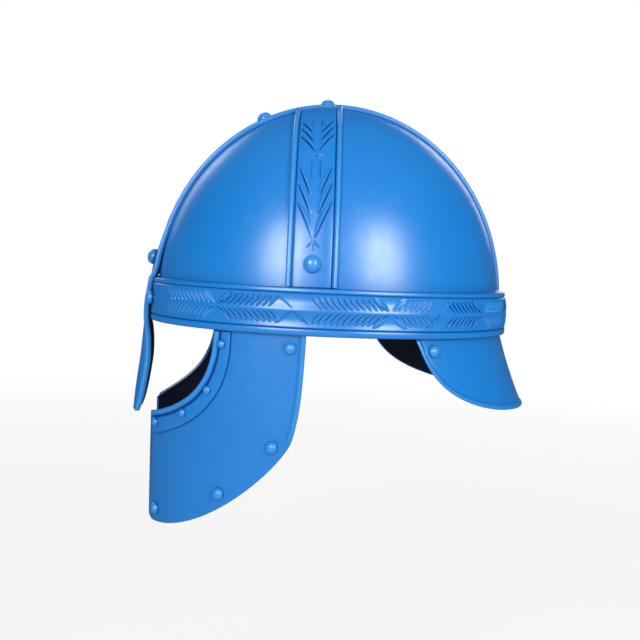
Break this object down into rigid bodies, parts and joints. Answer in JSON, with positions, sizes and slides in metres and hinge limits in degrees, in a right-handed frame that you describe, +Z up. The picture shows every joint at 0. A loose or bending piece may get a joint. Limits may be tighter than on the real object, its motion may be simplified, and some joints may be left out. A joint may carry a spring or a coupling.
{
  "type": "medieval helmet",
  "caption": "Medieval helmet of riveted plates: oval bowl, crest strap running down as a nasal, side straps, ornamented brow band, cheek plates with eye cuts, neck guard.",
  "frame": {"origin": "inside of the bowl's crown, where the helmet sits on a head", "axes": "-Y forward, the way the wearer looks; +X to the wearer's left; +Z up"},
  "size_m": [0.2026, 0.2746, 0.2896],
  "materials": {
    "painted_steel": "satin blue enamel on steel plate",
    "painted_rivet": "satin blue enamel on domed steel rivet heads"
  },
  "bodies": {
    "root": {"bowl_plate_front_left": "painted_steel", "bowl_plate_rear_left": "painted_steel", "bowl_plate_front_right": "painted_steel", "bowl_plate_rear_right": "painted_steel", "brow_band": "painted_steel", "crest_strap": "painted_steel", "side_strap_left": "painted_steel", "side_strap_right": "painted_steel", "cheek_plate_left": "painted_steel", "cheek_plate_right": "painted_steel", "eye_trim_left": "painted_steel", "eye_trim_right": "painted_steel", "neck_guard": "painted_steel", "rivet_crest_crown": "painted_rivet", "rivet_crest_upper": "painted_rivet", "rivet_crest_brow": "painted_rivet", "rivet_strap_left": "painted_rivet", "rivet_brow_left": "painted_rivet", "rivet_cheek_top_left": "painted_rivet", "rivet_cheek_rear_left": "painted_rivet", "rivet_cheek_lower_left": "painted_rivet", "rivet_cheek_front_left": "painted_rivet", "rivet_trim_1_left": "painted_rivet", "rivet_trim_2_left": "painted_rivet", "rivet_trim_3_left": "painted_rivet", "rivet_trim_4_left": "painted_rivet", "rivet_neck_left": "painted_rivet", "rivet_strap_right": "painted_rivet", "rivet_brow_right": "painted_rivet", "rivet_cheek_top_right": "painted_rivet", "rivet_cheek_rear_right": "painted_rivet", "rivet_cheek_lower_right": "painted_rivet", "rivet_cheek_front_right": "painted_rivet", "rivet_trim_1_right": "painted_rivet", "rivet_trim_2_right": "painted_rivet", "rivet_trim_3_right": "painted_rivet", "rivet_trim_4_right": "painted_rivet", "rivet_neck_right": "painted_rivet"}
  },
  "joints": []
}
